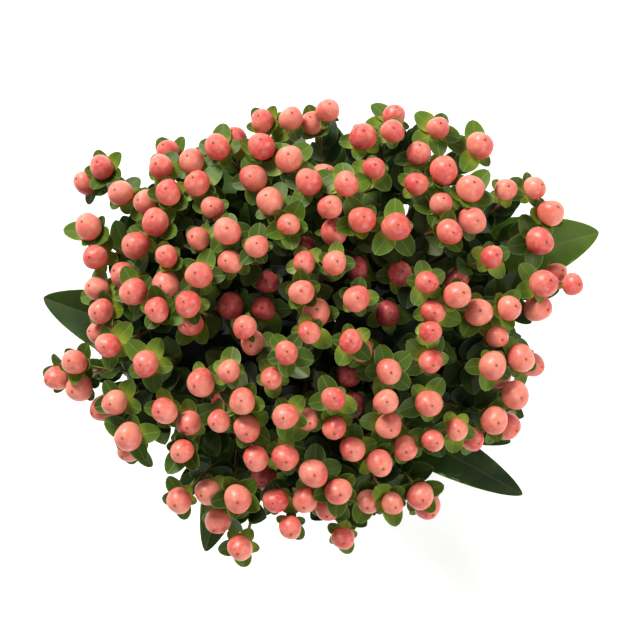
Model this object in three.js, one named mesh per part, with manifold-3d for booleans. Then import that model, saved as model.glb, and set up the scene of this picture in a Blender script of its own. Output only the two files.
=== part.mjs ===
// A hand-tied bunch of hypericum, cut for its coral berries, which stands on its own stem ends.
//
// Twenty-two cut stems cross inside a twine tie in a spiral, so that they splay out below it like the
// legs of a stool and fan out above it into a dome. Each stem carries pairs of leaves and then forks
// into branches. A branch ends in a cyme of one to four berries on short stalks, and each berry sits on
// a calyx of five sepals.
//
// Millimetres, +Z up. The stems stand on z = 0 and the dome faces +Z. Each stem is one solid, because
// its wood, leaves, sepals and berries grew as one piece.

import * as THREE from 'three';
import { mergeVertices } from 'three/addons/utils/BufferGeometryUtils.js';
import Module from 'manifold-3d';

const wasm = await Module();
wasm.setup();

// The dome: how high the berries stand over the axis, and how far they fall away towards its rim.
const CROWN_Z = 312;
const CROWN_SAG = 46;
const CROWN_RADIUS = 110;
const CROWN_JITTER = 2.5;

// The rings that the stems stand in: the circle each ring makes inside the tie, the one on the ground, and
// how many pairs of leaves are left on a stem below its fork.
const TIE_Z = 150;
const FAN_Z = 170; // the branches point away from this height on the axis
const RINGS = {
  outer: { tieRadius: 13, footRadius: 66, pairs: 3 },
  inner: { tieRadius: 8.5, footRadius: 36, pairs: 1 },
  centre: { tieRadius: 3.8, footRadius: 9, pairs: 1 },
};

// Wood.
const FOOT_RADIUS = 2.3;
const TIE_STEM_RADIUS = 2.1;
const FORK_RADIUS = 1.5;
const FORK_END = 1; // the wood past the fork, which holds the roots of the branches
const WOOD_STEPS = 4; // straight lengths between the tie and the fork
const BRANCH_RADIUS = 1.15;
const BRANCH_FLARE = 0.3; // where a branch reaches its full radius, along it
const STALK_RADIUS = 0.9;
const STALK_SINK = 1;
const STALK_FLARE = 4;
const FORK_DEPTH = 25; // from a stem's fork up to the middle of its cyme nodes
const CYME_DEPTH = 19; // from a cyme's node up to its berries

// Berries. The heights and radii of a berry's profile are given to its own radius.
const BERRY_RADIUS = { least: 5, most: 6.6 };
const BERRY_GAP = 1;
const BERRY_LIFTS = [3, -1.5, -2.5, -4]; // the first berry of a cyme stands highest
const TUCKED_LIFTS = [3, -8, 0, -9]; // the same where a cyme's berries are tucked under each other
const CYME_SPREAD = [0, 0, 6.4, 7.6, 9.4]; // from a cyme's middle to its berries, by their number
const TUCKED_SPREAD = 0.5; // of that, where they are tucked
const BASE = { height: -0.72, radius: 0.62 };
const GIRTH = { height: -0.15, radius: 1 };
const SHOULDER = { height: 0.5, radius: 0.86 };
const TIP_HEIGHT = 1.08;
const SETTLING_ROUNDS = 60;

// A calyx of five sepals below each berry. It is shrunk, turned or folded back until it clears.
const SEPAL_REACH = 5.6;
const SEPAL_CLEARANCE = 0.3;
const NECK_DEPTH = 1.2; // from a berry's base down to where its stalk thickens into the calyx
const SEPAL_SIZES = [1, 0.8, 0.6, 0.4];
const SEPAL_TURNS = [0, 24, 48];
const SEPAL_FOLDS = [10, 35, -30, 60];
const CALYXES = SEPAL_SIZES.flatMap((size) => (
  SEPAL_TURNS.flatMap((turn) => SEPAL_FOLDS.map((fold) => ({ size, turn, fold })))));
const BARE_CALYX = { size: 0.1, turn: 0, fold: 10 };

// Leaves: a pair of bracts at a cyme of two or more berries, a pair at the fork and more down the stem.
// The stations are where a blade has its four-cornered sections, along its length. The inset is how far
// its root stands out from the middle of the wood.
const BRACT = { length: 15, width: 9.5, thick: 1, inset: 0.2, lift: 38, droop: 0.12, stations: [0.45] };
const FORK_LEAF = { ...BRACT, length: 30, width: 17, thick: 1.1, inset: 0.75, lift: 32 };
const STEM_LEAF = { ...FORK_LEAF, length: 47, width: 20, thick: 1.2, lift: 30, droop: 0.2, stations: [0.3, 0.7] };
const LOW_LEAF = { ...STEM_LEAF, length: 42, width: 18, lift: 26, stations: [0.45] };
const LEVELS = [ // the stem's own pairs, each so far back from the fork
  { back: 20, kind: STEM_LEAF },
  { back: 40, kind: STEM_LEAF },
  { back: 60, kind: LOW_LEAF },
];
const BRACT_BACK = 0.08; // from a cyme's node back down its branch to the bracts, along the branch
const LEAF_CUP = 0.28; // how far a blade's edges stand above its rib, to its half width
const REACH_RISE = 0.12; // how far a reaching leaf's tip ends above its root, to its run

// A leaf is shortened, raised or turned until it clears its neighbours.
const LEAF_CLEARANCE = 0.35;
const LEAF_BARE_ROOT = 0.15; // the part of a blade that may touch what grows at its own root
const LEAF_SIZES = [1, 0.75];
const LEAF_RAISES = [0, 18, -18, 36];
const LEAF_TURNS = [0, 20, -20, 40, -40];
const LEAF_TRIES = LEAF_SIZES.flatMap((size) => (
  LEAF_RAISES.flatMap((raise) => LEAF_TURNS.map((turn) => ({ size, raise, turn })))));

const TIE_TURNS = 4;
const TWINE_RADIUS = 1.4;
const TIE_CLEARANCE = 0.35;
const TIE_SIDES = 16;

// The stems, anticlockwise from +X, seen from above. Each cyme is where its middle lies under the dome,
// its number of berries, the direction of the first of them from that middle, in degrees, and how far
// they are tucked under each other, from 0 to 1. A stem with a large leaf that shows past the berries has
// the place of that leaf's tip and its width as its reach.
const STEMS = [
  {
    ring: 'outer',
    cymes: [[103.5, 19.6, 2, 323, 1], [93.2, 12.6, 2, 80, 0.7], [73, 2.5, 3, 38], [52, 9, 2, 36]],
  },
  {
    ring: 'outer',
    cymes: [[84.8, 57.6, 2, 0], [63, 51, 2, 95], [95, 42, 2, 73], [72, 29, 1]],
    reach: [115, 39, 25],
  },
  {
    ring: 'outer',
    cymes: [[29.5, 85.4, 2, 254, 0.8], [18.6, 80, 1], [67.4, 76.5, 1], [49.2, 83.6, 1], [44, 66, 3, 355]],
  },
  {
    ring: 'outer',
    cymes: [[-1, 88.5, 2, 35, 0.9], [-2.4, 61.6, 2, 194, 0.9], [9.4, 58.5, 1], [22, 66, 1]],
    reach: [4, 84, 22],
  },
  { ring: 'outer', cymes: [[-19, 87, 2, 4], [-41, 77, 2, 207, 0.8], [-27, 68.5, 2, 73], [-14, 70, 1]] },
  { ring: 'outer', cymes: [[-67.3, 70.5, 2, 246, 0.9], [-55.5, 69, 1], [-50.5, 54.8, 2, 130], [-69, 54, 2, 24]] },
  { ring: 'outer', cymes: [[-98, 64.5, 2, 40, 0.5], [-85.8, 56, 1], [-98, 35.5, 2, 103], [-75, 39, 2, 52]] },
  {
    ring: 'outer',
    cymes: [[-95, 10.5, 2, 282, 0.6], [-92.5, -6, 2, 306, 0.9], [-82, 17.5, 2, 303, 0.6], [-69, 8, 1]],
  },
  {
    ring: 'outer',
    cymes: [[-107.5, -22, 3, 70, 0.4], [-91, -34, 2, 20, 1], [-74.5, -16.5, 1], [-82.5, -50.5, 2, 90, 1]],
    reach: [-116, 10, 25],
  },
  {
    ring: 'outer',
    cymes: [[-61.5, -39.6, 2, 146, 0.5], [-59, -52, 1], [-60.5, -74.5, 1], [-43, -76, 3, 20], [-35, -95, 1]],
    reach: [-49, -94, 20],
  },
  { ring: 'outer', cymes: [[-21, -56, 2, 351], [-16, -80, 2, 296], [-6, -68, 2, 80]] },
  { ring: 'outer', cymes: [[4, -73.5, 2, 54, 0.6], [9, -90.5, 1]] },
  {
    ring: 'outer',
    cymes: [[42.5, -75, 2, 137, 1], [25.5, -75, 2, 0, 0.3], [19, -55, 2, 336]],
    reach: [82, -71, 23],
  },
  {
    ring: 'outer',
    cymes: [[76, -41.7, 2, 153, 1], [60.3, -46, 2, 150, 0.7], [40, -50, 2, 10], [45, -33, 1]],
    reach: [78, -49, 20],
  },
  {
    ring: 'outer',
    cymes: [[74.4, -20, 2, 130, 0.8], [80, -28, 1], [86.5, -16, 2, 160, 1], [45.5, -9, 2, 90]],
    reach: [84, -38, 20],
  },
  { ring: 'inner', cymes: [[31, 41, 1], [17, 44, 1], [52, 45, 2, 285], [44, 18, 1]] },
  { ring: 'inner', cymes: [[-18, 47, 2, 310], [-46, 38, 2, 13], [-33, 30, 2, 30]] },
  { ring: 'inner', cymes: [[-66, 22, 2, 85], [-52, 21, 1], [-56, 5, 2, 95, 0.8]] },
  { ring: 'inner', cymes: [[-45, -22, 2, 23], [-36, -39, 3, 70], [-30.8, -4.3, 2, 118, 1]] },
  {
    ring: 'inner',
    cymes: [[-18, -17, 2, 59], [-10.5, -39, 2, 170, 0.5], [5, -37, 2, 90], [-4, 1.1, 2, 249, 1]],
  },
  { ring: 'inner', cymes: [[14.4, -8.8, 2, 140, 1], [28, -21, 1], [28, -37, 2, 100]] },
  { ring: 'centre', cymes: [[-1, 26, 2, 0], [-8.5, 14, 1], [14.5, 11, 1], [4.5, 45, 2, 95, 0.6]] },
];

const UP = new THREE.Vector3(0, 0, 1);
const EAST = new THREE.Vector3(1, 0, 0);
const FAN = new THREE.Vector3(0, 0, FAN_Z);
const radians = THREE.MathUtils.degToRad;

// ---------------------------------------------------------------------------------------------------
// How a stem grows. Its cymes hang below the dome, its branches gather at a fork, and its wood runs from
// the fork through the tie to the ground.

// Park and Miller's generator, which every stem starts from its own number.
function seeded(number) {
  let state = 7919 * number;
  return () => {
    state = (state * 16807) % 2147483647;
    return state / 2147483647;
  };
}

function crownHeight(x, y) {
  return CROWN_Z - CROWN_SAG * (x * x + y * y) / (CROWN_RADIUS * CROWN_RADIUS);
}

function outward(point) {
  return point.clone().sub(FAN).normalize();
}

function growBerry(x, y, lift, draw) {
  const radius = THREE.MathUtils.lerp(BERRY_RADIUS.least, BERRY_RADIUS.most, draw());
  const height = crownHeight(x, y) + lift + CROWN_JITTER * (2 * draw() - 1);
  return { centre: new THREE.Vector3(x, y, height), radius, phase: 72 * draw() };
}

function growCyme([x, y, count, turn = 0, tuck = 0], draw) {
  const middle = new THREE.Vector3(x, y, crownHeight(x, y));
  const out = outward(middle);
  const { lerp } = THREE.MathUtils;
  const spread = CYME_SPREAD[count] * lerp(1, TUCKED_SPREAD, tuck);
  const berries = Array.from({ length: count }, (_, k) => {
    const angle = radians(turn + 360 * k / count);
    const lift = lerp(BERRY_LIFTS[k], TUCKED_LIFTS[k], tuck);
    return growBerry(x + spread * Math.cos(angle), y + spread * Math.sin(angle), lift, draw);
  });
  return { node: middle.addScaledVector(out, -CYME_DEPTH), out, berries, leafTurn: 360 * draw() };
}

function growStem(stem, index) {
  const draw = seeded(index + 1);
  const cymes = stem.cymes.map((cyme) => growCyme(cyme, draw));
  const middle = new THREE.Vector3();
  cymes.forEach((cyme) => middle.addScaledVector(cyme.node, 1 / cymes.length));
  const out = outward(middle);
  const fork = middle.clone().addScaledVector(out, -FORK_DEPTH);
  return { ...stem, index, cymes, fork, out, forkTurn: 180 * draw(), stemTurn: 180 * draw() };
}

// Berries that touch are pushed apart, along the line between them.
function settle(berries) {
  for (let round = 0; round < SETTLING_ROUNDS; round++) {
    for (let i = 0; i < berries.length; i++) {
      for (let j = i + 1; j < berries.length; j++) {
        const [a, b] = [berries[i], berries[j]];
        const line = b.centre.clone().sub(a.centre);
        const short = a.radius + b.radius + BERRY_GAP - line.length();
        if (short > 0) {
          line.normalize();
          a.centre.addScaledVector(line, -short / 2);
          b.centre.addScaledVector(line, short / 2);
        }
      }
    }
  }
}

// The wood from the ground to the tie, and then in short straight lengths to the fork. The stems of a
// ring are evenly spaced inside the tie and lean the same way round it, so that no two meet.
function growWood(stem, tieAngle) {
  const { tieRadius, footRadius } = RINGS[stem.ring];
  const tie = new THREE.Vector3(tieRadius * Math.cos(tieAngle), tieRadius * Math.sin(tieAngle), TIE_Z);
  const run = Math.sqrt(footRadius * footRadius - tieRadius * tieRadius);
  const foot = new THREE.Vector3(tie.x + run * Math.sin(tieAngle), tie.y - run * Math.cos(tieAngle), 0);
  const rise = tie.clone().sub(foot).normalize();
  const pull = tie.distanceTo(stem.fork) / 3;
  const points = new THREE.CubicBezierCurve3(
    tie,
    tie.clone().addScaledVector(rise, pull),
    stem.fork.clone().addScaledVector(stem.out, -pull),
    stem.fork,
  ).getPoints(WOOD_STEPS);
  const course = new THREE.CurvePath();
  points.slice(1).forEach((point, i) => course.add(new THREE.LineCurve3(points[i], point)));
  return { foot, points, course };
}

// ---------------------------------------------------------------------------------------------------
// Solids.

function solidOf(points, triangles) {
  const vertProperties = new Float32Array(points.flatMap((point) => point.toArray()));
  const triVerts = new Uint32Array(triangles);
  return new wasm.Manifold(new wasm.Mesh({ numProp: 3, vertProperties, triVerts }));
}

// A ring of points across a direction. Its first point is towards +X, turned by its phase in degrees.
function ringAt(middle, direction, radius, sides, phase = 0) {
  const a = EAST.clone().addScaledVector(direction, -EAST.dot(direction)).normalize();
  const b = direction.clone().cross(a);
  return Array.from({ length: sides }, (_, k) => {
    const angle = radians(phase + 360 * k / sides);
    const [x, y] = [radius * Math.cos(angle), radius * Math.sin(angle)];
    return middle.clone().addScaledVector(a, x).addScaledVector(b, y);
  });
}

// The triangles of a band between two rings of as many points, the second of them further along.
function band(first, second, sides) {
  return Array.from({ length: sides }, (_, k) => {
    const next = (k + 1) % sides;
    return [first + k, first + next, second + next, first + k, second + next, second + k];
  }).flat();
}

// A stem's five-sided wood, cut level on z = 0.
function woodSolid({ foot, points }, fork, out) {
  const sides = 5;
  const stations = [foot, ...points.slice(0, -1), fork.clone().addScaledVector(out, FORK_END)];
  const rings = stations.map((station, i) => {
    const ahead = stations[Math.min(i + 1, stations.length - 1)];
    const behind = stations[Math.max(i - 1, 0)];
    const above = Math.max(i - 1, 0) / WOOD_STEPS;
    const radius = i === 0 ? FOOT_RADIUS : THREE.MathUtils.lerp(TIE_STEM_RADIUS, FORK_RADIUS, above);
    return ringAt(station, ahead.clone().sub(behind).normalize(), radius, sides);
  });
  const rise = stations[1].clone().sub(foot).normalize();
  rings[0].forEach((point) => point.addScaledVector(rise, -point.z / rise.z));
  const triangles = rings.slice(1).flatMap((_, i) => band(i * sides, (i + 1) * sides, sides));
  const last = (rings.length - 1) * sides;
  for (let k = 1; k + 1 < sides; k++) {
    triangles.push(0, k + 1, k, last, last + k, last + k + 1);
  }
  return solidOf(rings.flat(), triangles);
}

// A three-sided stalk that starts at a point inside the wood, a calyx of five sepals and a berry, as one
// skin. The stalk's limb is its path, and its radii after the path's first point. From the calyx up, the
// five-sided rings are the notches between the sepals, the sepals' tips, the girth and the shoulder.
function berrySolid({ path, radii }, berry, { size, fold, turn }, swell = 0) {
  const axis = berry.centre.clone().sub(path[path.length - 1]).normalize();
  const radius = berry.radius + swell;
  const along = (height) => berry.centre.clone().addScaledVector(axis, height * radius);
  const reach = size * SEPAL_REACH + swell;
  const [out, down] = [reach * Math.cos(radians(fold)), reach * Math.sin(radians(fold))];
  const phase = berry.phase + turn;
  const base = along(BASE.height);
  const neck = base.clone().addScaledVector(axis, -NECK_DEPTH - 0.4 * Math.max(down, 0));
  const stations = [...path.slice(1), neck];
  const stalk = stations.map((station, i) => {
    const ahead = stations[Math.min(i + 1, stations.length - 1)];
    const behind = i === 0 ? path[0] : stations[i - 1];
    return ringAt(station, ahead.clone().sub(behind).normalize(), radii[i] + swell, 3, phase);
  });
  const head = [
    ringAt(base, axis, BASE.radius * radius, 5, phase - 36),
    ringAt(base.clone().addScaledVector(axis, -down), axis, BASE.radius * radius + out, 5, phase),
    ringAt(along(GIRTH.height), axis, GIRTH.radius * radius, 5, phase),
    ringAt(along(SHOULDER.height), axis, SHOULDER.radius * radius, 5, phase + 36),
  ];
  const points = [path[0], ...stalk.flat(), ...head.flat(), along(TIP_HEIGHT)];
  const neckRing = 3 * stalk.length - 2;
  const [notch, sepal, girth, shoulder, tip] = [3, 8, 13, 18, 23].map((step) => neckRing + step);
  const triangles = [0, 2, 1, 0, 3, 2, 0, 1, 3];
  for (let i = 1; i < neckRing; i += 3) {
    triangles.push(...band(i, i + 3, 3));
  }
  // Below the calyx, ten points of sepals and notches in turn run in to the neck's three.
  const rim = (k) => (k % 2 === 0 ? sepal + (k % 10) / 2 : notch + (k + 1) / 2 % 5);
  const corner = (k) => neckRing + Math.round(k % 10 * 0.3) % 3;
  for (let k = 0; k < 10; k++) {
    triangles.push(corner(k), rim(k + 1), rim(k));
    if (corner(k) !== corner(k + 1)) triangles.push(corner(k), corner(k + 1), rim(k + 1));
  }
  for (let i = 0; i < 5; i++) {
    const next = (i + 1) % 5;
    triangles.push(notch + i, sepal + i, notch + next);
    triangles.push(notch + i, notch + next, girth + i, girth + i, notch + next, girth + next);
    triangles.push(girth + i, girth + next, shoulder + i, shoulder + i, girth + next, shoulder + next);
    triangles.push(shoulder + i, shoulder + next, tip);
  }
  return solidOf(points, triangles);
}

// How wide a leaf is, from 0 at its root through 1 at its broadest to 0 at its tip.
function leafWidth(u) {
  return Math.sin(Math.PI * u ** 0.85) ** 0.7;
}

// A blade that sets off along aim and bows down to its tip. It is thickest on the rib and thins to its
// edges, which stand above the rib. It may start part of the way along.
function bladeSolid(root, aim, length, kind, from, swell) {
  const side = aim.clone().cross(UP).normalize();
  const face = side.clone().cross(aim).normalize();
  const rib = (u) => (
    root.clone().addScaledVector(aim, length * u).addScaledVector(UP, -kind.droop * length * u * u));
  const sections = kind.stations.map((u) => {
    const half = 0.5 * kind.width * (length / kind.length) * leafWidth(u) + swell;
    const edges = rib(u).addScaledVector(face, LEAF_CUP * half);
    const thick = 0.5 * kind.thick + swell;
    return [
      edges.clone().addScaledVector(side, half),
      rib(u).addScaledVector(face, -thick),
      edges.clone().addScaledVector(side, -half),
      rib(u).addScaledVector(face, thick),
    ];
  });
  const triangles = sections.slice(1).flatMap((_, i) => band(2 + 4 * i, 6 + 4 * i, 4));
  const last = 4 * sections.length - 2;
  for (let k = 0; k < 4; k++) {
    const next = (k + 1) % 4;
    triangles.push(0, 2 + next, 2 + k, last + k, last + next, 1);
  }
  return solidOf([rib(from), rib(1).addScaledVector(aim, swell), ...sections.flat()], triangles);
}

// The twine, wound round the stems where they are closest together. Its inside clears the slant of the
// outer stems, and its turns bulge.
function tieSolid() {
  const { tieRadius, footRadius } = RINGS.outer;
  const slope = Math.sqrt(footRadius * footRadius - tieRadius * tieRadius) / TIE_Z;
  const half = TIE_TURNS * TWINE_RADIUS;
  const stemEdge = TIE_STEM_RADIUS * Math.sqrt(1 + slope * slope);
  const inside = Math.hypot(tieRadius, slope * half) + stemEdge + TIE_CLEARANCE;
  const profile = [new THREE.Vector2(inside, -half)];
  for (let turn = 0; turn < TIE_TURNS; turn++) {
    const z = 2 * TWINE_RADIUS * turn - half;
    profile.push(new THREE.Vector2(inside + 1.5 * TWINE_RADIUS, z));
    profile.push(new THREE.Vector2(inside + 2.4 * TWINE_RADIUS, z + TWINE_RADIUS));
  }
  profile.push(new THREE.Vector2(inside + 1.5 * TWINE_RADIUS, half), new THREE.Vector2(inside, half));
  profile.push(profile[0].clone());
  const lathe = new THREE.LatheGeometry(profile, TIE_SIDES).rotateX(Math.PI / 2).translate(0, 0, TIE_Z);
  lathe.deleteAttribute('normal');
  lathe.deleteAttribute('uv');
  const merged = mergeVertices(lathe, 1e-4);
  const { position } = merged.attributes;
  const points = [];
  for (let i = 0; i < position.count; i++) {
    points.push(new THREE.Vector3().fromBufferAttribute(position, i));
  }
  return solidOf(points, [...merged.index.array]);
}

// ---------------------------------------------------------------------------------------------------
// Putting the bunch together. A piece that would meet another stem, or another piece of its own stem, is
// bent clear of it, and a leaf with no room is left out.

const pieces = []; // every solid so far, which the next ones have to clear

function boundsOf(solid) {
  const { min, max } = solid.boundingBox();
  return new THREE.Box3(new THREE.Vector3(...min), new THREE.Vector3(...max));
}

function meet(solid, box, other, otherBox) {
  return box.intersectsBox(otherBox) && solid.intersect(other).volume() > 1e-6;
}

// A trial holds a swollen copy of a piece: the whole of it, and its body without the end that is rooted
// in the wood. What grows from the same root may meet it at that end, and so may its own stem.
function clears(trial, own) {
  const [wholeBox, bodyBox] = [boundsOf(trial.whole), boundsOf(trial.body)];
  return pieces.every((piece) => {
    if (piece === own) return true;
    if (piece.stem !== own.stem) return !meet(trial.whole, wholeBox, piece.whole, piece.wholeBox);
    if (piece.root === own.root) return !meet(trial.body, bodyBox, piece.body, piece.bodyBox);
    return !meet(trial.body, bodyBox, piece.whole, piece.wholeBox);
  });
}

function shape(piece, { whole, body }) {
  return Object.assign(piece, { whole, body, wholeBox: boundsOf(whole), bodyBox: boundsOf(body) });
}

function addWhole(stem, root, whole) {
  pieces.push(shape({ stem, root }, { whole, body: whole }));
}

// A cyme's first berry is on the branch itself, and its other berries are on stalks from the node.
function limbsOf(stem, cyme, berry) {
  const { node, out } = cyme;
  const elbow = node.clone().add(berry.centre.clone().sub(node).setLength(STALK_FLARE));
  const branch = {
    path: [stem.fork, stem.fork.clone().lerp(node, BRANCH_FLARE), node],
    radii: [BRANCH_RADIUS, BRANCH_RADIUS, STALK_RADIUS],
  };
  const stalk = {
    path: [node.clone().addScaledVector(out, -STALK_SINK), elbow],
    radii: [STALK_RADIUS, STALK_RADIUS],
  };
  const limb = berry === cyme.berries[0] ? branch : stalk;
  const stub = { path: [elbow], radii: [STALK_RADIUS] };
  return (calyx, swell) => ({
    whole: berrySolid(limb, berry, calyx, swell),
    body: berrySolid(stub, berry, calyx, swell),
  });
}

function addBareBerry(stem, cyme, berry) {
  berry.withCalyx = limbsOf(stem, cyme, berry);
  berry.piece = shape({ stem, root: cyme }, berry.withCalyx(BARE_CALYX));
  pieces.push(berry.piece);
}

function openCalyx({ withCalyx, piece }) {
  const calyx = CALYXES.find((each) => clears(withCalyx(each, SEPAL_CLEARANCE), piece));
  if (calyx) shape(piece, withCalyx(calyx));
}

function tryLeaf(stem, root, aim, length, kind) {
  const base = root.place.clone().addScaledVector(aim, kind.inset);
  const blade = (swell) => ({
    whole: bladeSolid(base, aim, length, kind, 0, swell),
    body: bladeSolid(base, aim, length, kind, LEAF_BARE_ROOT, swell),
  });
  const leaf = { stem, root };
  if (!clears(blade(LEAF_CLEARANCE), leaf)) return false;
  pieces.push(shape(leaf, blade(0)));
  return true;
}

// A leaf that stands at an angle round the wood, and is lifted along it.
function addLeaf(stem, root, turn, kind) {
  LEAF_TRIES.some((each) => {
    const [round] = ringAt(new THREE.Vector3(), root.along, 1, 1, turn + each.turn);
    const lift = radians(kind.lift + each.raise);
    const aim = round.multiplyScalar(Math.cos(lift)).addScaledVector(root.along, Math.sin(lift));
    return tryLeaf(stem, root, aim, each.size * kind.length, kind);
  });
}

function addPair(stem, root, turn, kind) {
  addLeaf(stem, root, turn, kind);
  addLeaf(stem, root, turn + 180, kind);
}

function addReachingLeaf(stem, root) {
  const [x, y] = [stem.reach[0] - root.place.x, stem.reach[1] - root.place.y];
  const aim = new THREE.Vector3(x, y, Math.hypot(x, y) * (REACH_RISE + STEM_LEAF.droop));
  const length = aim.length();
  tryLeaf(stem, root, aim.normalize(), length, { ...STEM_LEAF, length, width: stem.reach[2] });
}

const stems = STEMS.map(growStem);
settle(stems.flatMap((stem) => stem.cymes.flatMap((cyme) => cyme.berries)));

for (const [ring, { tieRadius }] of Object.entries(RINGS)) {
  const members = stems.filter((stem) => stem.ring === ring);
  const { x, y } = members[0].fork;
  const start = Math.atan2(y, x) - Math.acos(tieRadius / Math.hypot(x, y));
  members.forEach((stem, place) => {
    stem.wood = growWood(stem, start + 2 * Math.PI * place / members.length);
    addWhole(stem, 'wood', woodSolid(stem.wood, stem.fork, stem.out));
  });
}

const tie = tieSolid();
addWhole('none', 'tie', tie);
for (const stem of stems) {
  stem.cymes.forEach((cyme) => cyme.berries.forEach((berry) => addBareBerry(stem, cyme, berry)));
}
stems.forEach((stem) => stem.cymes.forEach((cyme) => cyme.berries.forEach(openCalyx)));

for (const stem of stems) {
  const { course } = stem.wood;
  stem.levels = LEVELS.slice(0, RINGS[stem.ring].pairs).map(({ back, kind }) => {
    const at = 1 - back / course.getLength();
    return { place: course.getPoint(at), along: course.getTangent(at), kind };
  });
  if (stem.reach) addReachingLeaf(stem, stem.levels[0]);
}
for (const stem of stems) {
  stem.levels.forEach((level, k) => addPair(stem, level, stem.stemTurn + 90 * k, level.kind));
}
for (const stem of stems) {
  addPair(stem, { place: stem.fork, along: stem.out }, stem.forkTurn, FORK_LEAF);
}
for (const stem of stems) {
  for (const { node, out, berries, leafTurn } of stem.cymes) {
    const place = node.clone().lerp(stem.fork, BRACT_BACK);
    if (berries.length > 1) addPair(stem, { place, along: out }, leafTurn, BRACT);
  }
}

function meshOf(solid, name, material) {
  const { numProp, numVert, vertProperties, triVerts } = solid.getMesh();
  const place = new Float32Array(3 * numVert);
  for (let i = 0; i < numVert; i++) {
    place.set(vertProperties.subarray(i * numProp, i * numProp + 3), 3 * i);
  }
  const geometry = new THREE.BufferGeometry();
  geometry.setAttribute('position', new THREE.BufferAttribute(place, 3));
  geometry.setIndex(new THREE.BufferAttribute(triVerts, 1));
  const mesh = new THREE.Mesh(geometry, material);
  mesh.name = name;
  return mesh;
}

const leafGreen = new THREE.MeshStandardMaterial({ color: 0x4f7a2e, roughness: 0.5, metalness: 0 });
const twineBrown = new THREE.MeshStandardMaterial({ color: 0xb08a56, roughness: 0.9, metalness: 0 });

const bunch = new THREE.Group();
for (const stem of stems) {
  const own = pieces.filter((piece) => piece.stem === stem).map((piece) => piece.whole);
  const grown = own.reduce((whole, piece) => whole.add(piece));
  bunch.add(meshOf(grown, 'stem_' + String(stem.index + 1).padStart(2, '0'), leafGreen));
}
bunch.add(meshOf(tie, 'tie', twineBrown));

// The origin is the middle of the bunch's outline, on the ground.
const outline = new THREE.Box3().setFromObject(bunch).getCenter(new THREE.Vector3());
bunch.position.set(-outline.x, -outline.y, 0);

export default bunch;
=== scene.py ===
import itertools
import math
import random
from types import SimpleNamespace as Record

import bpy
import numpy as np
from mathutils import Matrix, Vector
from mathutils.bvhtree import BVHTree


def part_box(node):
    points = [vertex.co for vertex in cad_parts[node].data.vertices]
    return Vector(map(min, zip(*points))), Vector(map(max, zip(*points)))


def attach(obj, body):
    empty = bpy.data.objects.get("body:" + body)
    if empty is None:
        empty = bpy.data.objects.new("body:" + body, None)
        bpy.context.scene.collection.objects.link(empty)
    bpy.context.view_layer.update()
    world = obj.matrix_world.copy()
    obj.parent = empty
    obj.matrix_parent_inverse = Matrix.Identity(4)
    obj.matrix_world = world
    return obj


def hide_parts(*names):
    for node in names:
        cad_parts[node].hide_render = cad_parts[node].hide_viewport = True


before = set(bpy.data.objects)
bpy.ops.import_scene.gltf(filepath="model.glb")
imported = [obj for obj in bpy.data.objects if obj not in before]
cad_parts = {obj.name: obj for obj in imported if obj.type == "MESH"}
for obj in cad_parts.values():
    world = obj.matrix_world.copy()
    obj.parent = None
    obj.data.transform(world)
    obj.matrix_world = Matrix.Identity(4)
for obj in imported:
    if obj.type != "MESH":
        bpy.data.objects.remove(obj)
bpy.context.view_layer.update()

# ----------------------------------------
# The bunch as it grew and was tied. Each stem is a shoot that forks into branches, each branch ends in a
# cyme of one to three berries, and the stems cross in the tie in a spiral. These are the part's own rules,
# in the part's own order, so that every fine piece lies where its solid is.

CROWN_Z = 312
CROWN_SAG = 46
CROWN_RADIUS = 110
CROWN_JITTER = 2.5
TIE_Z = 150
FAN = np.array([0, 0, 170.0])
RINGS = {"outer": (13, 66), "inner": (8.5, 36), "centre": (3.8, 9)}  # radius in the tie, on the ground
LEVELS_BACK = {"outer": [20, 40, 60], "inner": [20], "centre": [20]}  # pairs of leaves, back from the fork
WOOD_STEPS = 4
FORK_DEPTH = 25
CYME_DEPTH = 19
BERRY_LEAST = 5
BERRY_MOST = 6.6
BERRY_GAP = 1
BERRY_LIFTS = [3, -1.5, -2.5]
TUCKED_LIFTS = [3, -8, 0]  # where a cyme's berries are tucked under each other
CYME_SPREAD = {1: 0, 2: 6.4, 3: 7.6}
TUCKED_SPREAD = 0.5
SETTLING_ROUNDS = 60
EAST = np.array([1.0, 0, 0])

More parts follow.
